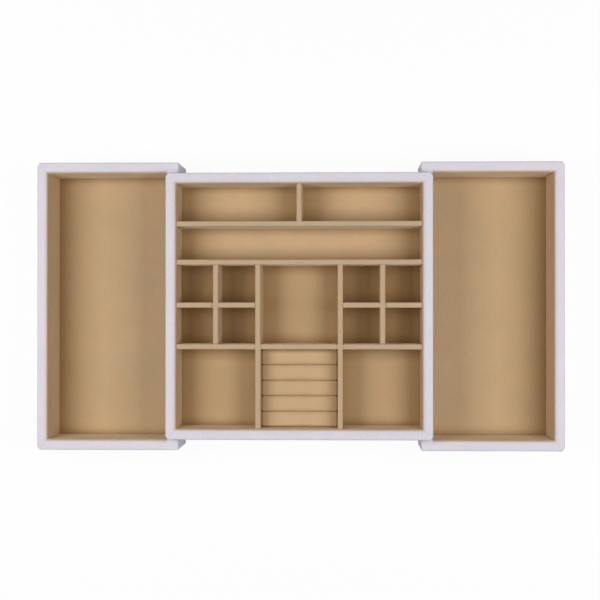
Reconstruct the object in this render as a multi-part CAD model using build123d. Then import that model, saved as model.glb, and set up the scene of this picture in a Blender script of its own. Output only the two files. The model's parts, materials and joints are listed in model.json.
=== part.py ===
from build123d import *
import math
import os

# A covered jewelry tray. A square centre box with compartments stands on a low spine,
# and a U-shaped tray slides out from each side of it.
# +X points at the right-hand tray, +Y at the back and +Z up. The origin lies on the table,
# under the middle of the box. Sizes are millimetres, and both trays stand fully open.

# Covered boards, the same for the centre box and the trays
wall_board = 8.5
wall_lining = 2.5
lining_drop = 1.5
floor_lining = 2.0
rim_round = 1.4
corner_round = 2.6
end_round = 1.2
lining_round = 1.1

# Centre box
centre_width = 265.0
centre_depth = 264.7
centre_inside_height = 44.0
centre_floor_board = 6.0
storage_height = 15.0

# Side trays
tray_height = 60.0
tray_floor_board = 5.0
base_felt = 1.0
felt_inset = 4.0

# Fit of the trays round the centre box
side_clearance = 1.0
end_clearance = 0.5
meeting_gap = 2.5
open_overlap = 11.0
mouth_return = 12.0

# Spine that carries the centre box
spine_width = 14.0
spine_length = 240.0
spine_corner_round = 2.0
spine_felt_inset = 1.0
spine_clearance = 1.0

# Guide pins of the trays and their grooves in the centre box
pin_radius = 2.5
pin_seat_depth = 6.5
pin_rise = 17.0
pin_inset = 4.3
pin_tip_round = 0.6
groove_clearance = 0.2
groove_depth = 3.4
groove_end_clearance = 0.3

# Dividers
divider_board = 5.1
divider_drop = 2.0
divider_round = 1.0
lap_clearance = 0.1

# Clear sizes of the compartments, from the back wall forwards and from the side walls inwards
back_row_depth = 37.0
long_slot_depth = 33.0
small_back_depth = 37.5
small_front_depth = 36.2
outer_small_width = 36.15
inner_small_width = 36.85

# Ring pad
pad_board = 3.0
pad_side_gap = 0.4
pad_board_round = 1.0
roll_count = 5
roll_gap = 0.1
roll_height = 23.5
roll_crown = 0.6
roll_shoulder = 1.6
roll_foot_draw = 0.5
roll_end_draw = 1.2
roll_end_length = 2.0
roll_end_steps = 2

# Overrun of every cut, past the face that it opens
overrun = 5.0

# Heights that follow
tray_board_bottom = base_felt
tray_floor_board_top = tray_board_bottom + tray_floor_board
tray_floor_top = tray_floor_board_top + floor_lining
centre_bottom = tray_floor_top + storage_height
centre_floor_board_top = centre_bottom + centre_floor_board
centre_floor_top = centre_floor_board_top + floor_lining
centre_rim = centre_floor_top + centre_inside_height
divider_top = centre_rim - divider_drop
divider_mid = (centre_floor_top + divider_top) / 2
pin_height = centre_bottom + pin_rise

# Places that follow, as distances from the middle of the object
centre_outside_x = centre_width / 2
centre_outside_y = centre_depth / 2
centre_board_x = centre_outside_x - wall_board
centre_board_y = centre_outside_y - wall_board
centre_inside_x = centre_board_x - wall_lining
centre_inside_y = centre_board_y - wall_lining
back_divider_y = centre_inside_y - back_row_depth - divider_board / 2
slot_divider_y = back_divider_y - divider_board - long_slot_depth
cross_divider_y = slot_divider_y - divider_board - small_back_depth
front_divider_y = cross_divider_y - divider_board - small_front_depth
small_divider_x = centre_inside_x - outer_small_width - divider_board / 2
main_divider_x = small_divider_x - divider_board - inner_small_width
tray_inside_y = centre_outside_y + side_clearance
tray_board_y = tray_inside_y + wall_lining
tray_outside_y = tray_board_y + wall_board
shut_reach = centre_outside_x + end_clearance + wall_lining + wall_board
tray_length = shut_reach - meeting_gap / 2
tray_mouth = centre_outside_x - open_overlap
tray_lining_mouth = tray_mouth + mouth_return
tray_reach = tray_mouth + tray_length
travel = tray_reach - shut_reach
tray_board_x = tray_reach - wall_board
tray_inside_x = tray_board_x - wall_lining
tray_floor_mouth = travel + spine_width / 2 + spine_clearance
pin_x = tray_mouth + pin_inset
groove_floor_y = centre_outside_y - groove_depth
pin_tip_y = groove_floor_y + groove_end_clearance
pin_root_y = tray_inside_y + pin_seat_depth

parts = {}


def block(x_range, y_range, z_range):
    # A box between two limits along each axis, given in either order.
    corner = (min(x_range), min(y_range), min(z_range))
    sizes = [max(limits) - min(limits) for limits in (x_range, y_range, z_range)]
    return Location(corner) * Box(*sizes, align=(Align.MIN, Align.MIN, Align.MIN))


def prism(outline, bottom, top):
    # A straight prism on a closed outline, from one height to another.
    edge = Polyline(*[(x, y, bottom) for x, y in outline], close=True)
    return extrude(make_face(edge), amount=top - bottom, dir=(0, 0, 1))


def edges_at(shape, height):
    # The edges that lie level at a height.
    found = [
        edge
        for edge in shape.edges()
        if all(math.isclose(corner.Z, height) for corner in edge.vertices())
    ]
    return ShapeList(found)


def upright_edges(shape, x, y):
    # The upright edges that stand at plus or minus x and y.
    found = [
        edge
        for edge in shape.edges().filter_by(Axis.Z)
        if math.isclose(abs(edge.center().X), x) and math.isclose(abs(edge.center().Y), y)
    ]
    return ShapeList(found)


def rounded_top(shape, height, radius):
    return fillet(edges_at(shape, height), radius=radius)


def pin_cylinder(x, y_range, radius):
    # A round rod along Y at the height of the guide pins.
    middle = (min(y_range) + max(y_range)) / 2
    turned = Location((x, middle, pin_height), (90, 0, 0))
    return turned * Cylinder(radius, max(y_range) - min(y_range))


def groove(side, face):
    # The slot that a guide pin runs in, with a half round end at each limit of its travel.
    radius = pin_radius + groove_clearance
    outer_x = side * pin_x
    inner_x = side * (pin_x - travel)
    y_range = (face * groove_floor_y, face * (centre_outside_y + overrun))
    z_range = (pin_height - radius, pin_height + radius)
    straight = block((outer_x, inner_x), y_range, z_range)
    ends = [pin_cylinder(x, y_range, radius) for x in (outer_x, inner_x)]
    return straight + ends[0] + ends[1]


def centre_walls():
    # Four boards round the centre box, cut apart along their mitres.
    outside = block(
        (-centre_outside_x, centre_outside_x),
        (-centre_outside_y, centre_outside_y),
        (centre_bottom, centre_rim),
    )
    outside = fillet(upright_edges(outside, centre_outside_x, centre_outside_y), radius=corner_round)
    outside = fillet(edges_at(outside, centre_bottom), radius=end_round)
    hollow = block(
        (-centre_board_x, centre_board_x),
        (-centre_board_y, centre_board_y),
        (centre_bottom - overrun, centre_rim + overrun),
    )
    ring = rounded_top(outside - hollow, centre_rim, rim_round)
    for side in (-1, 1):
        for face in (-1, 1):
            ring -= groove(side, face)
    far_x = centre_outside_x + overrun
    far_y = centre_outside_y + overrun
    for name, side in (("left", -1), ("right", 1)):
        outline = [
            (side * far_x, -far_y),
            (side * far_x, far_y),
            (side * centre_board_x, centre_board_y),
            (side * centre_board_x, -centre_board_y),
        ]
        wedge = prism(outline, centre_bottom - overrun, centre_rim + overrun)
        parts[f"centre_{name}_wall"] = ring & wedge
    for name, face in (("front", -1), ("back", 1)):
        outline = [
            (-far_x, face * far_y),
            (far_x, face * far_y),
            (centre_board_x, face * centre_board_y),
            (-centre_board_x, face * centre_board_y),
        ]
        wedge = prism(outline, centre_bottom - overrun, centre_rim + overrun)
        parts[f"centre_{name}_wall"] = ring & wedge


def centre_floor():
    parts["centre_floor_board"] = block(
        (-centre_board_x, centre_board_x),
        (-centre_board_y, centre_board_y),
        (centre_bottom, centre_floor_board_top),
    )
    parts["centre_floor_lining"] = block(
        (-centre_inside_x, centre_inside_x),
        (-centre_inside_y, centre_inside_y),
        (centre_floor_board_top, centre_floor_top),
    )


def centre_linings():
    # The front and back linings run from wall to wall, and the side linings stand between them.
    top = centre_rim - lining_drop
    z_range = (centre_floor_board_top, top)
    for name, face in (("front", -1), ("back", 1)):
        card = block(
            (-centre_board_x, centre_board_x),
            (face * centre_inside_y, face * centre_board_y),
            z_range,
        )
        parts[f"centre_{name}_lining"] = rounded_top(card, top, lining_round)
    for name, side in (("left", -1), ("right", 1)):
        card = block(
            (side * centre_inside_x, side * centre_board_x),
            (-centre_inside_y, centre_inside_y),
            z_range,
        )
        parts[f"centre_{name}_lining"] = rounded_top(card, top, lining_round)


def support_spine():
    spine = block(
        (-spine_width / 2, spine_width / 2),
        (-spine_length / 2, spine_length / 2),
        (base_felt, centre_bottom),
    )
    parts["support_spine"] = fillet(spine.edges().filter_by(Axis.Z), radius=spine_corner_round)
    felt_x = spine_width / 2 - spine_felt_inset
    felt_y = spine_length / 2 - spine_felt_inset
    parts["spine_felt"] = block((-felt_x, felt_x), (-felt_y, felt_y), (0, base_felt))


def divider_blank(x_range, y_range):
    # A covered divider board that stands on the floor lining, with its top edge rounded.
    board = block(x_range, y_range, (centre_floor_top, divider_top))
    long_axis = Axis.X if abs(x_range[1] - x_range[0]) > divider_board * 2 else Axis.Y
    top_edges = edges_at(board, divider_top).filter_by(long_axis)
    return fillet(top_edges, radius=divider_round)


def cross_board(name, y, x_from, x_to, crossings):
    # A divider along X, slotted from above where a front-to-back divider crosses it.
    half = divider_board / 2
    board = divider_blank((x_from, x_to), (y - half, y + half))
    slot_half = half + lap_clearance
    for x in crossings:
        board -= block(
            (x - slot_half, x + slot_half),
            (y - half - overrun, y + half + overrun),
            (divider_mid, divider_top + overrun),
        )
    parts[name] = board


def long_board(name, x, y_from, y_to, crossings):
    # A divider along Y, slotted from below where it stands over a cross board.
    half = divider_board / 2
    board = divider_blank((x - half, x + half), (y_from, y_to))
    slot_half = half + lap_clearance
    for y in crossings:
        board -= block(
            (x - half - overrun, x + half + overrun),
            (y - slot_half, y + slot_half),
            (centre_floor_top - overrun, divider_mid),
        )
    parts[name] = board


def dividers():
    half = divider_board / 2
    slot_face_y = slot_divider_y - half
    cross_board("back_row_board", back_divider_y, -centre_inside_x, centre_inside_x, [])
    cross_board("long_slot_board", slot_divider_y, -centre_inside_x, centre_inside_x, [])
    front_crossings = [-main_divider_x, main_divider_x]
    cross_board("front_row_board", front_divider_y, -centre_inside_x, centre_inside_x, front_crossings)
    long_board("back_row_divider", 0, back_divider_y + half, centre_inside_y, [])
    for name, side in (("left", -1), ("right", 1)):
        ends = sorted((side * centre_inside_x, side * (main_divider_x + half)))
        cross_board(f"{name}_cross_divider", cross_divider_y, *ends, [side * small_divider_x])
        long_board(
            f"{name}_small_divider",
            side * small_divider_x,
            front_divider_y + half,
            slot_face_y,
            [cross_divider_y],
        )
        long_board(
            f"{name}_main_divider",
            side * main_divider_x,
            -centre_inside_y,
            slot_face_y,
            [front_divider_y],
        )


def roll_section(x, middle_y, foot, width, draw):
    # The outline of a roll square to its length: a flat foot, sides that draw in towards it,
    # round shoulders and a crown. The outline is smaller by the draw towards the roll's ends.
    half = width / 2 - draw
    foot_half = half - roll_foot_draw
    crown_half = half - roll_shoulder
    top = foot + roll_height - draw
    crown_foot = top - roll_crown
    side_top = crown_foot - roll_shoulder
    bend = roll_shoulder * (1 - math.sin(math.pi / 4))

    def at(y, z):
        return (x, middle_y + y, z)

    outline = [
        Edge.make_line(at(-foot_half, foot), at(foot_half, foot)),
        Edge.make_line(at(foot_half, foot), at(half, side_top)),
        Edge.make_three_point_arc(
            at(half, side_top), at(half - bend, crown_foot - bend), at(crown_half, crown_foot)
        ),
        Edge.make_three_point_arc(at(crown_half, crown_foot), at(0, top), at(-crown_half, crown_foot)),
        Edge.make_three_point_arc(
            at(-crown_half, crown_foot), at(bend - half, crown_foot - bend), at(-half, side_top)
        ),
        Edge.make_line(at(-half, side_top), at(-foot_half, foot)),
    ]
    return Face(Wire(outline))


def ring_pad():
    # A covered base board with a row of padded rolls that hold rings in the grooves between them.
    half = divider_board / 2
    pad_half_x = main_divider_x - half - pad_side_gap
    pad_back = front_divider_y - half - pad_side_gap
    pad_front = -centre_inside_y + pad_side_gap
    pad_top = centre_floor_top + pad_board
    board = block((-pad_half_x, pad_half_x), (pad_front, pad_back), (centre_floor_top, pad_top))
    parts["ring_pad_board"] = fillet(board.edges().filter_by(Axis.Z), radius=pad_board_round)
    pitch = (pad_back - pad_front) / roll_count
    width = pitch - roll_gap
    for index in range(roll_count):
        middle_y = pad_back - pitch * (index + 1 / 2)
        stations = []
        for step in range(roll_end_steps + 1):
            turn = math.pi / 2 * step / roll_end_steps
            inset = roll_end_length * (1 - math.cos(turn))
            draw = roll_end_draw * (1 - math.sin(turn))
            stations.append((pad_half_x - inset, draw))
        right = [roll_section(x, middle_y, pad_top, width, draw) for x, draw in reversed(stations)]
        left = [roll_section(-x, middle_y, pad_top, width, draw) for x, draw in stations]
        parts[f"ring_roll_{index + 1}"] = loft(left + right, ruled=True)


def tray_ring(side):
    # The three boards of a tray in one U, before they are cut apart. At the mouth the cover
    # turns in over the end of the lining, and the wall is as thick as board and lining together.
    outside = block(
        (side * tray_mouth, side * tray_reach),
        (-tray_outside_y, tray_outside_y),
        (tray_board_bottom, tray_height),
    )
    outside = fillet(upright_edges(outside, tray_reach, tray_outside_y), radius=corner_round)
    outside = fillet(upright_edges(outside, tray_mouth, tray_outside_y), radius=end_round)
    outside = fillet(edges_at(outside, tray_board_bottom), radius=end_round)
    z_range = (tray_board_bottom - overrun, tray_height + overrun)
    mouth = block(
        (side * (tray_mouth - overrun), side * tray_board_x),
        (-tray_inside_y, tray_inside_y),
        z_range,
    )
    hollow = block(
        (side * tray_lining_mouth, side * tray_board_x),
        (-tray_board_y, tray_board_y),
        z_range,
    )
    ring = outside - mouth - hollow
    ring = fillet(upright_edges(ring, tray_mouth, tray_inside_y), radius=end_round)
    return rounded_top(ring, tray_height, rim_round)


def tray_walls(name, side):
    ring = tray_ring(side)
    for face in (-1, 1):
        seat_range = (face * (tray_inside_y - overrun), face * pin_root_y)
        ring -= pin_cylinder(side * pin_x, seat_range, pin_radius)
    bottom = tray_board_bottom - overrun
    top = tray_height + overrun
    far_x = tray_reach + overrun
    far_y = tray_outside_y + overrun
    near_x = tray_mouth - overrun
    near_y = tray_inside_y - overrun
    end_outline = [
        (side * far_x, -far_y),
        (side * far_x, far_y),
        (side * tray_board_x, tray_board_y),
        (side * tray_board_x, -tray_board_y),
    ]
    parts[f"{name}_end_wall"] = ring & prism(end_outline, bottom, top)
    for wall, face in (("front", -1), ("back", 1)):
        outline = [
            (side * near_x, face * far_y),
            (side * far_x, face * far_y),
            (side * tray_board_x, face * tray_board_y),
            (side * tray_lining_mouth, face * near_y),
            (side * near_x, face * near_y),
        ]
        parts[f"{name}_{wall}_wall"] = ring & prism(outline, bottom, top)


def tray_floor(name, side):
    # The floor board is narrower at the mouth, where it lies between the thick wall ends.
    z_range = (tray_board_bottom, tray_floor_board_top)
    board = block(
        (side * tray_lining_mouth, side * tray_board_x),
        (-tray_board_y, tray_board_y),
        z_range,
    )
    tongue = block(
        (side * tray_floor_mouth, side * tray_board_x),
        (-tray_inside_y, tray_inside_y),
        z_range,
    )
    parts[f"{name}_floor_board"] = board + tongue
    parts[f"{name}_floor_lining"] = block(
        (side * tray_floor_mouth, side * tray_inside_x),
        (-tray_inside_y, tray_inside_y),
        (tray_floor_board_top, tray_floor_top),
    )
    parts[f"{name}_base_felt"] = block(
        (side * tray_floor_mouth, side * (tray_reach - felt_inset)),
        (-(tray_outside_y - felt_inset), tray_outside_y - felt_inset),
        (0, base_felt),
    )


def tray_linings(name, side):
    # The front and back linings run up to the thick wall ends, and the end lining stands between them.
    top = tray_height - lining_drop
    z_range = (tray_floor_board_top, top)
    for wall, face in (("front", -1), ("back", 1)):
        card = block(
            (side * tray_lining_mouth, side * tray_board_x),
            (face * tray_inside_y, face * tray_board_y),
            z_range,
        )
        parts[f"{name}_{wall}_lining"] = rounded_top(card, top, lining_round)
    card = block(
        (side * tray_inside_x, side * tray_board_x),
        (-tray_inside_y, tray_inside_y),
        z_range,
    )
    parts[f"{name}_end_lining"] = rounded_top(card, top, lining_round)


def guide_pins(name, side):
    # One pin in the front wall and one in the back wall, each with a rounded tip in its groove.
    pins = []
    for face in (-1, 1):
        pin = pin_cylinder(side * pin_x, (face * pin_tip_y, face * pin_root_y), pin_radius)
        rims = pin.edges().filter_by(GeomType.CIRCLE)
        tip = min(rims, key=lambda rim: abs(rim.center().Y))
        pins.append(fillet(tip, radius=pin_tip_round))
    parts[f"{name}_guide_pins"] = Compound([solid for pin in pins for solid in pin.solids()])


centre_walls()
centre_floor()
centre_linings()
support_spine()
dividers()
ring_pad()
for tray_name, tray_side in (("left", -1), ("right", 1)):
    tray_walls(tray_name, tray_side)
    tray_floor(tray_name, tray_side)
    tray_linings(tray_name, tray_side)
    guide_pins(tray_name, tray_side)

os.makedirs("parts", exist_ok=True)
for node, shape in parts.items():
    export_step(shape, f"parts/{node}.step")
print("pieces", len(parts), "travel", travel, "reach", tray_reach, "rim", centre_rim)
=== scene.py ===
import json
import math

import bmesh
import bpy
from mathutils import Matrix, Vector, noise


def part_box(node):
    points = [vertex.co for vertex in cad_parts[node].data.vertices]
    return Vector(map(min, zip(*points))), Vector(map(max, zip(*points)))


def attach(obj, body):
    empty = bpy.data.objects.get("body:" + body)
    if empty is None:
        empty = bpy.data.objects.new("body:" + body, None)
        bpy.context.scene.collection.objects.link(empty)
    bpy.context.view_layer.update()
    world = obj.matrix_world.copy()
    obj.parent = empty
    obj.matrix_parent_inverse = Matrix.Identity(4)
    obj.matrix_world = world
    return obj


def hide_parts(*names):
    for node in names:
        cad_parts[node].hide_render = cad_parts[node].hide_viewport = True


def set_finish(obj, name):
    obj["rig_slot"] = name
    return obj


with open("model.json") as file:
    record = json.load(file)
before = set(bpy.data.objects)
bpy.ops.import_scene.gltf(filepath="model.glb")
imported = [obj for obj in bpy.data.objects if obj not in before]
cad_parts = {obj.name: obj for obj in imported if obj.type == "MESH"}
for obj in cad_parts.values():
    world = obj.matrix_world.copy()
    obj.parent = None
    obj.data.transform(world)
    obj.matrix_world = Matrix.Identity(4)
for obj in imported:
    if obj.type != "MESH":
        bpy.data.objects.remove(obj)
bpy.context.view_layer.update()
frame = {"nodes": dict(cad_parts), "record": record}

nodes = frame["nodes"]
bodies = frame["record"]["behaviour"]["bodies"]
bodyOfNode = {name: body for body, members in bodies.items() for name in members}
mm = 0.001


class Wire:
    # A shader socket that takes part in plain sums.
    def __init__(self, recipe, socket):
        self.recipe = recipe
        self.socket = socket

    def combine(self, operation, first, second):
        return self.recipe.node("ShaderNodeMath", {"operation": operation}, {0: first, 1: second})

    def __add__(self, other):
        return self.combine("ADD", self, other)

    __radd__ = __add__

    def __sub__(self, other):
        return self.combine("SUBTRACT", self, other)

    def __rsub__(self, other):
        return self.combine("SUBTRACT", other, self)

    def __mul__(self, other):
        return self.combine("MULTIPLY", self, other)

    __rmul__ = __mul__


class Recipe:
    # A node tree under construction.
    def __init__(self, tree):
        self.tree = tree
        self.tree.nodes.clear()

    def node(self, kind, settings, inputs, output=0):
        made = self.tree.nodes.new(kind)
        for key, value in settings.items():
            setattr(made, key, value)
        for key, value in inputs.items():
            if isinstance(value, Wire):
                self.tree.links.new(value.socket, made.inputs[key])
            else:
                made.inputs[key].default_value = value
        return Wire(self, made.outputs[output]) if made.outputs else None

    def mix(self, share, first, second, blend="MIX"):
        settings = {"data_type": "RGBA", "blend_type": blend}
        return self.node("ShaderNodeMix", settings, {0: share, 6: first, 7: second}, 2)

    def noise(self, place, size, detail, rough=0.5):
        # Smooth noise whose features are about this size, in metres.
        inputs = {"Vector": place, "Scale": 1 / size, "Detail": detail, "Roughness": rough}
        return self.node("ShaderNodeTexNoise", {}, inputs)

    def spread(self, value, low, high):
        # Stretches the part of a value between two levels to 0 and 1.
        inputs = {"Value": value, "From Min": low, "From Max": high, "To Min": 0.0, "To Max": 1.0}
        return self.node("ShaderNodeMapRange", {}, inputs)


def opaque(colour):
    return (*colour, 1.0)


def newMaterial(name):
    material = bpy.data.materials.new(name)
    material.use_nodes = True
    return material, Recipe(material.node_tree)


# Camera, from points measured on the photograph
cameraView = {
    "place": (48.9 * mm, -0.6 * mm, 1305.4 * mm),
    "tiltX": math.radians(0.313),
    "tiltY": math.radians(1.672),
    "tiltZ": math.radians(0.007),
    "focalPixels": 1246.5,
    "photoPixels": 600,
    "sensor": 36.0,
    "shiftX": -0.02,
    "clip": (0.01, 50),
}


def buildCamera(view):
    data = bpy.data.cameras.new("camera")
    data.sensor_width = view["sensor"]
    data.lens = view["focalPixels"] / view["photoPixels"] * view["sensor"]
    data.shift_x = view["shiftX"]
    data.clip_start, data.clip_end = view["clip"]
    camera = bpy.data.objects.new("camera", data)
    turnY = Matrix.Rotation(view["tiltY"], 4, "Y")
    turnX = Matrix.Rotation(view["tiltX"], 4, "X")
    turnZ = Matrix.Rotation(view["tiltZ"], 4, "Z")
    camera.matrix_world = Matrix.Translation(view["place"]) @ turnY @ turnX @ turnZ
    bpy.context.scene.collection.objects.link(camera)
    bpy.context.scene.camera = camera


# Two soft boxes overhead, to the left and right of the tray, and a weak even sky
studio = {
    "lights": {
        "left_light": {"place": (-0.73, 0.01, 1.0), "size": (0.80, 0.56), "power": 10.4},
        "right_light": {"place": (0.77, -0.03, 1.0), "size": (0.90, 0.62), "power": 10.9},
    },
    "lightColour": (1.0, 0.985, 0.97),
    "skyStrength": 0.02,
    "floorSize": 6.0,
    "floorDrop": 0.3 * mm,
    "floorColour": (0.9, 0.9, 0.91),
    "floorGlow": 0.94,
}


def whiteRays(recipe):
    # 1 for each kind of ray that has to meet a white background.
    seen = 0
    for kind in ("Is Camera Ray", "Is Glossy Ray", "Is Transmission Ray"):
        ray = recipe.node("ShaderNodeLightPath", {}, {}, kind)
        seen = recipe.node("ShaderNodeMath", {"operation": "MAXIMUM"}, {0: ray, 1: seen})
    return seen


def buildStudio(setup):
    for name, lamp in setup["lights"].items():
        data = bpy.data.lights.new(name, "AREA")
        data.shape = "RECTANGLE"
        data.size, data.size_y = lamp["size"]
        data.energy = lamp["power"]
        data.color = setup["lightColour"]
        light = bpy.data.objects.new(name, data)
        light.location = lamp["place"]
        light.visible_camera = False
        bpy.context.scene.collection.objects.link(light)

    world = bpy.data.worlds.new("studio_sky")
    world.use_nodes = True
    recipe = Recipe(world.node_tree)
    strength = whiteRays(recipe) * (1 - setup["skyStrength"]) + setup["skyStrength"]
    glow = recipe.node("ShaderNodeBackground", {}, {"Strength": strength})
    recipe.node("ShaderNodeOutputWorld", {}, {"Surface": glow})
    bpy.context.scene.world = world

    mesh = bmesh.new()
    bmesh.ops.create_grid(mesh, x_segments=1, y_segments=1, size=setup["floorSize"] / 2)
    bmesh.ops.translate(mesh, vec=(0, 0, -setup["floorDrop"]), verts=mesh.verts)
    floor = finishMesh(mesh, "studio_floor")
    material, recipe = newMaterial("studio_floor")
    matt = recipe.node("ShaderNodeBsdfDiffuse", {}, {"Color": opaque(setup["floorColour"])})
    white = recipe.node("ShaderNodeEmission", {}, {"Strength": 1.0})
    glow = whiteRays(recipe) * setup["floorGlow"]
    both = recipe.node("ShaderNodeMixShader", {}, {0: glow, 1: matt, 2: white})
    recipe.node("ShaderNodeOutputMaterial", {}, {"Surface": both})
    floor.data.materials.append(material)


def finishMesh(mesh, name):
    data = bpy.data.meshes.new(name)
    mesh.to_mesh(data)
    mesh.free()
    piece = bpy.data.objects.new(name, data)
    bpy.context.scene.collection.objects.link(piece)
    return piece


# Napped fabrics. Sizes are the width of a feature, in metres. The edge tint goes on faces that
# look up, partly where the pile opens and partly as painted light between lit tops and sides, and
# clouds of cool and warm lie over every tint
pile = {
    "upFacingSlope": (0.15, 0.75),
    "cloudSpan": (0.3, 0.7),
    "strokeSpan": (0.3, 0.7),
    "grainSpan": (0.25, 0.75),
    "bump": 0.35,
    "gloss": 0.15,
    "sheenRoughness": 0.5,
}

# The lilac fabric outside and over the rims
coverVelvet = {
    "side": (0.725, 0.695, 0.770),
    "edge": (0.705, 0.672, 0.742),
    "cool": (0.978, 0.998, 1.024),
    "warm": (1.026, 1.004, 0.982),
    "cloud": 16 * mm,
    "stroke": 45 * mm,
    "strokeDepth": 0.05,
    "grain": 1.2 * mm,
    "grainDepth": 0.14,
    "napHeight": 0.22 * mm,
    "roughness": 0.92,
    "sheen": 0.12,
    "sheenTint": (1.0, 0.97, 1.0),
}

# What the camel fabrics have in common. The boards, linings and floors are one camel velvet, kept
# in copies whose tints differ as painted light: the upright linings and boards lighter than the
# floors
camelPile = {
    "cool": (0.970, 0.995, 1.020),
    "warm": (1.030, 1.005, 0.985),
    "strokeDepth": 0.05,
    "roughness": 0.95,
    "sheenTint": (1.0, 0.86, 0.70),
}

# The divider boards
boardVelvet = {
    **camelPile,
    "side": (0.560, 0.390, 0.222),
    "edge": (0.526, 0.385, 0.247),
    "cloud": 9 * mm,
    "stroke": 40 * mm,
    "grain": 1.0 * mm,
    "grainDepth": 0.14,
    "napHeight": 0.2 * mm,
    "sheen": 0.35,
}

# The linings of the walls. The lilac pile of the rim leans over their lips
liningVelvet = {
    **camelPile,
    "side": (0.598, 0.424, 0.243),
    "edge": (0.530, 0.385, 0.245),
    "lip": coverVelvet["edge"],
    "cloud": 18 * mm,
    "stroke": 40 * mm,
    "grain": 0.9 * mm,
    "grainDepth": 0.12,
    "napHeight": 0.2 * mm,
    "sheen": 0.30,
}

# The floors. Their tint holds painted shade: it darkens along the boards that stand on them,
# where shadow falls
floorVelvet = {
    **camelPile,
    "side": (0.529, 0.374, 0.215),
    "edge": (0.529, 0.374, 0.215),
    "paintedShade": (0.405, 0.261, 0.121),
    "cloud": 18 * mm,
    "stroke": 40 * mm,
    "grain": 1.1 * mm,
    "grainDepth": 0.12,
    "napHeight": 0.2 * mm,
    "sheen": 0.08,
}

# The ring pad's rolls and the board under them
padVelvet = {
    **camelPile,
    "side": (0.552, 0.386, 0.225),
    "edge": (0.552, 0.386, 0.225),
    "cloud": 12 * mm,
    "stroke": 30 * mm,
    "grain": 0.9 * mm,
    "grainDepth": 0.11,
    "napHeight": 0.18 * mm,
    "sheen": 0.08,
}

lipLayer = "lip"
paintedShadeLayer = "paintedShade"


def napped(name, fabric):
    # Short pile. Its tint turns with the slope, partly as painted light between tops and sides,
    # and with the layers marked on a mesh, one of them painted shade, under soft clouds, brushed
    # strokes lighter and darker, and a fine grain.
    material, recipe = newMaterial(name)
    place = recipe.node("ShaderNodeTexCoord", {}, {}, "Object")
    facing = recipe.node("ShaderNodeNewGeometry", {}, {}, "Normal")
    height = recipe.node("ShaderNodeSeparateXYZ", {}, {0: facing}, "Z")
    # Upward faces take the edge tint and sides the side tint: partly the pile opening over edges,
    # partly painted light for how light falls on tops and sides
    upward = recipe.spread(height, *pile["upFacingSlope"])
    tint = recipe.mix(upward, opaque(fabric["side"]), opaque(fabric["edge"]))
    # The lip layer leans the rim's lilac over the linings; the painted shade layer darkens the
    # floors along their boards
    for layer in (lipLayer, paintedShadeLayer):
        if layer in fabric:
            share = recipe.node("ShaderNodeAttribute", {"attribute_name": layer}, {}, "Fac")
            tint = recipe.mix(share, tint, opaque(fabric[layer]))
    cloud = recipe.noise(place, fabric["cloud"], detail=3.0)
    cloud = recipe.spread(cloud, *pile["cloudSpan"])
    cast = recipe.mix(cloud, opaque(fabric["cool"]), opaque(fabric["warm"]))
    tint = recipe.mix(1.0, tint, cast, "MULTIPLY")
    stroke = recipe.noise(place, fabric["stroke"], detail=4.0, rough=0.6)
    stroke = recipe.spread(stroke, *pile["strokeSpan"])
    grain = recipe.noise(place, fabric["grain"], detail=2.0, rough=0.6)
    grain = recipe.spread(grain, *pile["grainSpan"])
    level = 1.0 + fabric["strokeDepth"] * (stroke - 0.5) + fabric["grainDepth"] * (grain - 0.5)
    shade = recipe.node("ShaderNodeCombineColor", {}, {0: level, 1: level, 2: level})
    colour = recipe.mix(1.0, tint, shade, "MULTIPLY")
    bump = {"Height": grain, "Strength": pile["bump"], "Distance": fabric["napHeight"]}
    finish = {
        "Base Color": colour,
        "Roughness": fabric["roughness"],
        "Normal": recipe.node("ShaderNodeBump", {}, bump),
        "Specular IOR Level": pile["gloss"],
        "Sheen Weight": fabric["sheen"],
        "Sheen Roughness": pile["sheenRoughness"],
        "Sheen Tint": opaque(fabric["sheenTint"]),
    }
    surface = recipe.node("ShaderNodeBsdfPrincipled", {}, finish)
    recipe.node("ShaderNodeOutputMaterial", {}, {"Surface": surface})
    return material


# Felt under the trays and the spine
baseFelt = {
    "dark": (0.38, 0.36, 0.39),
    "light": (0.52, 0.50, 0.53),
    "fibre": 0.8 * mm,
    "fibreSpan": (0.3, 0.7),
    "bump": 0.6,
    "napHeight": 0.3 * mm,
    "roughness": 1.0,
    "gloss": 0.1,
}


def feltMaterial(name, felt):
    material, recipe = newMaterial(name)
    place = recipe.node("ShaderNodeTexCoord", {}, {}, "Object")
    fibre = recipe.noise(place, felt["fibre"], detail=5.0, rough=0.7)
    share = recipe.spread(fibre, *felt["fibreSpan"])
    bump = {"Height": fibre, "Strength": felt["bump"], "Distance": felt["napHeight"]}
    finish = {
        "Base Color": recipe.mix(share, opaque(felt["dark"]), opaque(felt["light"])),
        "Roughness": felt["roughness"],
        "Normal": recipe.node("ShaderNodeBump", {}, bump),
        "Specular IOR Level": felt["gloss"],
    }
    surface = recipe.node("ShaderNodeBsdfPrincipled", {}, finish)
    recipe.node("ShaderNodeOutputMaterial", {}, {"Surface": surface})
    return material


# Nylon of the guide pins, dull where it is scuffed
guideNylon = {
    "fresh": (0.80, 0.79, 0.76),
    "scuffed": (0.66, 0.65, 0.62),
    "wear": 1.5 * mm,
    "wearSpan": (0.35, 0.7),
    "roughness": 0.35,
    "wornRoughness": 0.25,
    "bump": 0.2,
    "scratchDepth": 0.05 * mm,
}


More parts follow.
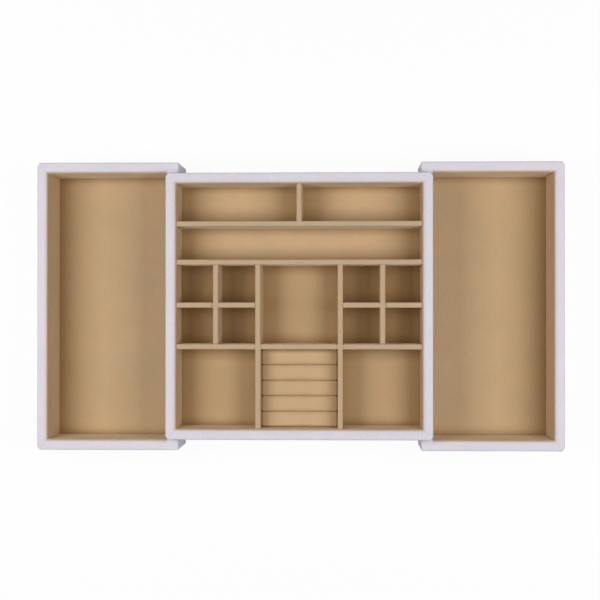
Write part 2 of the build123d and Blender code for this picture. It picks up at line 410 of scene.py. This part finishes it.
def nylonMaterial(name, nylon):
    material, recipe = newMaterial(name)
    place = recipe.node("ShaderNodeTexCoord", {}, {}, "Object")
    wear = recipe.noise(place, nylon["wear"], detail=4.0, rough=0.6)
    wear = recipe.spread(wear, *nylon["wearSpan"])
    bump = {"Height": wear, "Strength": nylon["bump"], "Distance": nylon["scratchDepth"]}
    finish = {
        "Base Color": recipe.mix(wear, opaque(nylon["fresh"]), opaque(nylon["scuffed"])),
        "Roughness": nylon["roughness"] + nylon["wornRoughness"] * wear,
        "Normal": recipe.node("ShaderNodeBump", {}, bump),
    }
    surface = recipe.node("ShaderNodeBsdfPrincipled", {}, finish)
    recipe.node("ShaderNodeOutputMaterial", {}, {"Surface": surface})
    return material


def dressNodes(materials):
    # Each CAD node takes the finish of its slot in the record. The linings take instead the floor
    # or lining copy of the camel velvet, whose tints differ as painted light.
    for name, piece in nodes.items():
        slotName = piece.data.materials[0].name
        piece.data.materials.clear()
        finish = slotName
        if name.endswith("lining"):
            finish = "floor_velvet" if "floor" in name else "lining_velvet"
        piece.data.materials.append(materials[finish])
        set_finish(piece, slotName)


# Fabric over the boards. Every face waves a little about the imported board's face, drawn in by
# the slack. Foot is the roundness of the edges that stand on, or look up from, a floor.
# The cover is folded down along the corners' diagonals, and its upright outer edges are rounded
coverWrap = {
    "cell": 5 * mm,
    "slack": 0.02 * mm,
    "wave": 24 * mm,
    "waveDepth": 0.12 * mm,
    "ripple": 7 * mm,
    "rippleDepth": 0.04 * mm,
    "foot": 0.0,
    "foldWidth": 0.8 * mm,
    "foldDepth": 0.12 * mm,
    "foldCuts": (0.35 * mm, 0.8 * mm, 1.5 * mm, 2.5 * mm),
    "cornerRound": 3.5 * mm,
}

# The linings lift over the wall behind them, lean on it and roll down to the inside. The floor
# boards and the spine take only their cells and waves
liningWrap = {
    "cell": 6 * mm,
    "slack": 0.02 * mm,
    "wave": 30 * mm,
    "waveDepth": 0.14 * mm,
    "ripple": 8 * mm,
    "rippleDepth": 0.04 * mm,
    "foot": 0.0,
    "lift": 1.2 * mm,
    "lean": 0.4 * mm,
    "roll": 1.6 * mm,
    "rollShares": (0.15, 0.3, 0.5, 0.7, 0.85, 0.95),
}

dividerWrap = {
    "cell": 5 * mm,
    "slack": -0.05 * mm,
    "wave": 20 * mm,
    "waveDepth": 0.08 * mm,
    "ripple": 6 * mm,
    "rippleDepth": 0.02 * mm,
    "foot": 0.3 * mm,
    "topRound": 1.1 * mm,
    "squareOff": 0.2 * mm,
}

# The painted shade on a floor reaches out from the boards that rise over it, further along x than
# along y
floorWrap = {
    "cell": 4 * mm,
    "paintedShadeRise": 4 * mm,
    "paintedShadeReach": (15 * mm, 2.5 * mm),
    "slack": 0.06 * mm,
    "wave": 40 * mm,
    "waveDepth": 0.20 * mm,
    "ripple": 11 * mm,
    "rippleDepth": 0.04 * mm,
    "foot": 0.4 * mm,
}

mergeGap = 0.002 * mm
mitreGap = 0.01 * mm
footSegments = 3
flatAngle = math.radians(1)
sharpAngle = math.radians(50)


def copyOfNode(name):
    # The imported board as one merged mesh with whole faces.
    mesh = bmesh.new()
    mesh.from_mesh(nodes[name].data)
    bmesh.ops.remove_doubles(mesh, verts=mesh.verts, dist=mergeGap)
    bmesh.ops.dissolve_limit(mesh, angle_limit=flatAngle, verts=mesh.verts, edges=mesh.edges)
    return mesh


def roundLevelEdges(mesh, height, width):
    level = [
        edge
        for edge in mesh.edges
        if all(abs(vertex.co.z - height) < mergeGap for vertex in edge.verts)
    ]
    bmesh.ops.bevel(
        mesh,
        geom=level,
        offset=width,
        segments=footSegments,
        profile=0.5,
        affect="EDGES",
        material=-1,
    )


def cutAcross(mesh, place, normal):
    everything = mesh.verts[:] + mesh.edges[:] + mesh.faces[:]
    bmesh.ops.bisect_plane(mesh, geom=everything, dist=mergeGap, plane_co=place, plane_no=normal)


def cutIntoCells(mesh, cell):
    # Cuts on one grid for the whole object, so that neighbours wave together.
    for axis in range(3):
        places = [vertex.co[axis] for vertex in mesh.verts]
        normal = Vector((0, 0, 0))
        normal[axis] = 1
        for step in range(math.floor(min(places) / cell) + 1, math.ceil(max(places) / cell)):
            cutAcross(mesh, normal * (step * cell), normal)


def mitreSide(point, corner):
    # How far a point lies to one side of the diagonal through its corner of the walls.
    return ((corner.x - abs(point.x)) - (corner.y - abs(point.y))) / math.sqrt(2)


def cutBesideMitres(mesh, corner, offsets):
    for signX in (-1, 1):
        for signY in (-1, 1):
            normal = Vector((signX, -signY, 0)).normalized()
            place = Vector((signX * corner.x, signY * corner.y, 0))
            for offset in offsets:
                cutAcross(mesh, place + normal * offset, normal)
                cutAcross(mesh, place - normal * offset, normal)


def roundCorners(mesh, corner, radius):
    # Rounds the upright outer edges where two walls meet, and every layer inside them alike.
    for vertex in mesh.verts:
        reach = [radius - (corner[axis] - abs(vertex.co[axis])) for axis in (0, 1)]
        if min(reach) > 0:
            pull = max(reach) / math.hypot(*reach)
            for axis in (0, 1):
                place = corner[axis] - radius + reach[axis] * pull
                vertex.co[axis] = math.copysign(place, vertex.co[axis])


def onMitre(face, corner):
    return abs(mitreSide(face.calc_center_median(), corner)) < mitreGap


def waveFabric(mesh, wrap, corner):
    # Draws the faces in by a smooth uneven depth, and folds the cover down along the diagonals.
    mesh.normal_update()
    moves = []
    for vertex in mesh.verts:
        faces = [face for face in vertex.link_faces if not (corner and onMitre(face, corner))]
        if not faces:
            continue
        normal = sum((face.normal * face.calc_area() for face in faces), Vector()).normalized()
        wave = noise.noise(vertex.co / wrap["wave"]) / 2
        ripple = noise.noise(vertex.co / wrap["ripple"]) / 2
        depth = wrap["slack"] + wrap["waveDepth"] * wave + wrap["rippleDepth"] * ripple
        move = -normal * depth
        if corner:
            away = mitreSide(vertex.co, corner) / wrap["foldWidth"]
            move.z -= wrap["foldDepth"] * max(normal.z, 0) * math.exp(-away * away)
        moves.append((vertex, move))
    for vertex, move in moves:
        vertex.co += move


def reachesAway(point, low, high, reaches):
    # How far a point lies beside a box, in reaches.
    gaps = [max(low[axis] - point[axis], point[axis] - high[axis], 0) for axis in (0, 1)]
    return math.hypot(*[gap / reach for gap, reach in zip(gaps, reaches)])


def markPaintedShade(mesh, name, wrap):
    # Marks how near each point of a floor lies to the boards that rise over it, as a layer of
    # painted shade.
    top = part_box(name)[1].z + mergeGap
    boards = [other for other in bodies[bodyOfNode[name]] if not other.endswith("_wall")]
    boxes = [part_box(board) for board in boards]
    standing = [(low, high) for low, high in boxes if low.z < top < high.z - wrap["paintedShadeRise"]]
    paintedShade = mesh.verts.layers.float.new(paintedShadeLayer)
    for vertex in mesh.verts:
        away = [reachesAway(vertex.co, low, high, wrap["paintedShadeReach"]) for low, high in standing]
        vertex[paintedShade] = min(sum(math.exp(-reaches) for reaches in away), 1)


# Boards that pass over another board through a slot in its top
crossings = {
    "left_small_divider": "left_cross_divider",
    "left_main_divider": "front_row_board",
    "right_small_divider": "right_cross_divider",
    "right_main_divider": "front_row_board",
}


def squareCrossing(mesh, name, wrap):
    # Keeps the rounded top edges square and flush inside the other board's slot.
    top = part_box(name)[1].z
    low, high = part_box(crossings[name])
    for edge, outward in ((low.y, -1), (high.y, 1)):
        for place in (edge, edge + outward * wrap["squareOff"]):
            cutAcross(mesh, Vector((0, place, 0)), Vector((0, 1, 0)))
    for vertex in mesh.verts:
        inSlot = low.y - mergeGap < vertex.co.y < high.y + mergeGap
        if inSlot and vertex.co.z > top - wrap["topRound"]:
            vertex.co.z = top


def coverBoard(name, wrap, corner=None):
    # Stands for a packed board, with the fabric's soft shape.
    low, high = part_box(name)
    isFloor = name.endswith("floor_lining")
    mesh = copyOfNode(name)
    if name in crossings:
        squareCrossing(mesh, name, wrap)
    if wrap["foot"]:
        roundLevelEdges(mesh, high.z if isFloor else low.z, wrap["foot"])
    cutIntoCells(mesh, wrap["cell"])
    # A floor gets a layer of painted shade along the boards that stand on it
    if isFloor:
        markPaintedShade(mesh, name, wrap)
    if corner:
        cutBesideMitres(mesh, corner, wrap["foldCuts"])
        roundCorners(mesh, corner, wrap["cornerRound"])
    waveFabric(mesh, wrap, corner)
    return finishBoard(mesh, name)


def coverLining(name, wrap, corner, thick):
    # A padded card whose top edge rolls over from the wall down to the inside of the box.
    low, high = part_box(name)
    mesh = bmesh.new()
    bmesh.ops.create_cube(mesh, size=1)
    bmesh.ops.scale(mesh, vec=high - low, verts=mesh.verts)
    bmesh.ops.translate(mesh, vec=(low + high) / 2, verts=mesh.verts)
    cutIntoCells(mesh, wrap["cell"])
    cutAcross(mesh, Vector((0, 0, high.z - wrap["roll"])), Vector((0, 0, 1)))
    for share in wrap["rollShares"]:
        for sign in (-1, 1):
            cutAcross(mesh, Vector((sign * (corner.x - share * thick), 0, 0)), Vector((1, 0, 0)))
            cutAcross(mesh, Vector((0, sign * (corner.y - share * thick), 0)), Vector((0, 1, 0)))
    lip = mesh.verts.layers.float.new(lipLayer)
    for vertex in mesh.verts:
        if vertex.co.z > high.z - mergeGap:
            depths = [corner[axis] - abs(vertex.co[axis]) for axis in (0, 1)]
            share = min(max(min(depths) / thick, 0), 1)
            fall = 1 - math.sqrt(1 - share * share)
            vertex.co.z += wrap["lift"] - (wrap["lift"] + wrap["roll"]) * fall
            vertex[lip] = (1 - share) ** 2
            for axis in (0, 1):
                if depths[axis] < mergeGap:
                    vertex.co[axis] += math.copysign(wrap["lean"], vertex.co[axis])
    bmesh.ops.remove_doubles(mesh, verts=mesh.verts, dist=mergeGap)
    waveFabric(mesh, wrap, None)
    return finishBoard(mesh, name)


def finishBoard(mesh, name):
    piece = finishMesh(mesh, name + "_velvet")
    for face in piece.data.polygons:
        face.use_smooth = True
    piece.data.set_sharp_from_angle(angle=sharpAngle)
    packed = nodes[name]
    piece.data.materials.append(packed.data.materials[0])
    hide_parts(name)
    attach(piece, bodyOfNode[name])
    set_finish(piece, packed["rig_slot"])
    return piece


# Each ring of boards: the one across an x end, and the one along the back
wallRings = {
    "centre": ("centre_right", "centre_back"),
    "left": ("left_end", "left_back"),
    "right": ("right_end", "right_back"),
}


def ringCorner(endBoard, reachBoard):
    # A corner as if it lay at the back right: the end board's outer face, and the back end of
    # the board that gives the ring's reach.
    low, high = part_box(endBoard)
    return Vector((max(-low.x, high.x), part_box(reachBoard)[1].y, 0))


def coverBoards():
    for ring, (end, back) in wallRings.items():
        endWall = end + "_wall"
        corner = ringCorner(endWall, endWall)  # where the end wall's rounded corner stops
        for name in nodes:
            if name.startswith(ring) and name.endswith("_wall"):
                coverBoard(name, coverWrap, corner)
        inner = ringCorner(end + "_lining", back + "_lining")
        low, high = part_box(end + "_lining")
        thick = high.x - low.x
        for name in nodes:
            if name.startswith(ring) and name.endswith("_lining") and "floor" not in name:
                coverLining(name, liningWrap, inner, thick)
    for name in nodes:
        if name.endswith("floor_lining"):
            coverBoard(name, floorWrap)
        elif name.endswith("floor_board") or name == "support_spine":
            coverBoard(name, liningWrap)
        elif name.endswith(("_divider", "_row_board", "_slot_board")):
            coverBoard(name, dividerWrap)


# Padded rolls of the ring pad, blown up as cloth round a slightly smaller core
ringPad = {
    "count": 5,
    "voxel": 1.0 * mm,
    "sideSlack": 0.1 * mm,
    "topSlack": 0.5 * mm,
    "endSlack": -0.1 * mm,
    "press": (0.3 * mm, 0.05 * mm, 0.0),
    "shoulder": 1.1 * mm,
    "shoulderSegments": 3,
    "pressure": 4.0,
    "frames": 20,
    "cap": 0.7 * mm,
    "fill": 0.7,
}


def ringRoll(name, pad):
    low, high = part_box(name)
    slack = Vector((pad["endSlack"], pad["sideSlack"], pad["topSlack"]))
    bottom = low + Vector((slack.x, slack.y, 0))
    top = high - slack
    size = top - bottom
    mesh = bmesh.new()
    bmesh.ops.create_cube(mesh, size=1)
    bmesh.ops.scale(mesh, vec=size, verts=mesh.verts)
    bmesh.ops.translate(mesh, vec=(bottom + top) / 2, verts=mesh.verts)
    bmesh.ops.bevel(
        mesh,
        geom=mesh.edges[:],
        offset=pad["shoulder"],
        segments=pad["shoulderSegments"],
        profile=0.5,
        affect="EDGES",
        material=-1,
    )
    piece = finishMesh(mesh, name + "_padding")
    shell = piece.modifiers.new("shell", "REMESH")
    shell.mode = "VOXEL"
    shell.voxel_size = pad["voxel"]
    bakeShape(piece)
    inflate(piece, pad, low, high)
    bpy.context.view_layer.update()
    return piece


def bakeShape(piece):
    # Keeps the shape that the modifiers give now and removes them.
    view = bpy.context.evaluated_depsgraph_get()
    shaped = bpy.data.meshes.new_from_object(piece.evaluated_get(view))
    piece.modifiers.clear()
    piece.data = shaped


def inflate(piece, pad, low, high):
    scene = bpy.context.scene
    rest = [vertex.co.copy() for vertex in piece.data.vertices]
    cloth = piece.modifiers.new("padding", "CLOTH")
    cloth.settings.use_pressure = True
    cloth.settings.uniform_pressure_force = pad["pressure"]
    cloth.settings.effector_weights.gravity = 0
    cloth.point_cache.frame_start = 1
    cloth.point_cache.frame_end = pad["frames"]
    for step in range(1, pad["frames"] + 1):
        scene.frame_set(step)
    bakeShape(piece)
    for vertex, start in zip(piece.data.vertices, rest):
        moved = vertex.co - start
        if moved.length > pad["cap"]:
            moved *= pad["cap"] / moved.length
        vertex.co = start + moved
        for axis in range(3):
            least = low[axis] - pad["press"][axis]
            most = high[axis] + pad["press"][axis]
            vertex.co[axis] = min(max(vertex.co[axis], least), most)
    scene.frame_set(1)


def buildRingPad(pad, material):
    for index in range(pad["count"]):
        name = f"ring_roll_{index + 1}"
        piece = ringRoll(name, pad)
        soften = piece.modifiers.new("soften", "SUBSURF")
        soften.levels = soften.render_levels = 1
        piece.data.materials.clear()
        piece.data.materials.append(material)
        for face in piece.data.polygons:
            face.use_smooth = True
        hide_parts(name)
        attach(piece, "centre_box")
        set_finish(piece, "ring_pad_velvet")


buildCamera(cameraView)
buildStudio(studio)
print("camera and studio ready")

finishes = {
    "cover_velvet": napped("lilac_cover_velvet", coverVelvet),
    "camel_velvet": napped("camel_board_velvet", boardVelvet),
    "lining_velvet": napped("camel_lining_velvet", liningVelvet),
    "floor_velvet": napped("camel_floor_velvet", floorVelvet),
    "ring_pad_velvet": napped("ring_pad_velvet", padVelvet),
    "base_felt": feltMaterial("base_felt", baseFelt),
    "guide_nylon": nylonMaterial("guide_nylon", guideNylon),
}
print("materials ready:", len(finishes))

dressNodes(finishes)
print("boards dressed:", len(nodes))

coverBoards()
print("boards covered")

buildRingPad(ringPad, finishes["ring_pad_velvet"])
print("ring pad ready")

bpy.context.scene.view_settings.view_transform = "Standard"
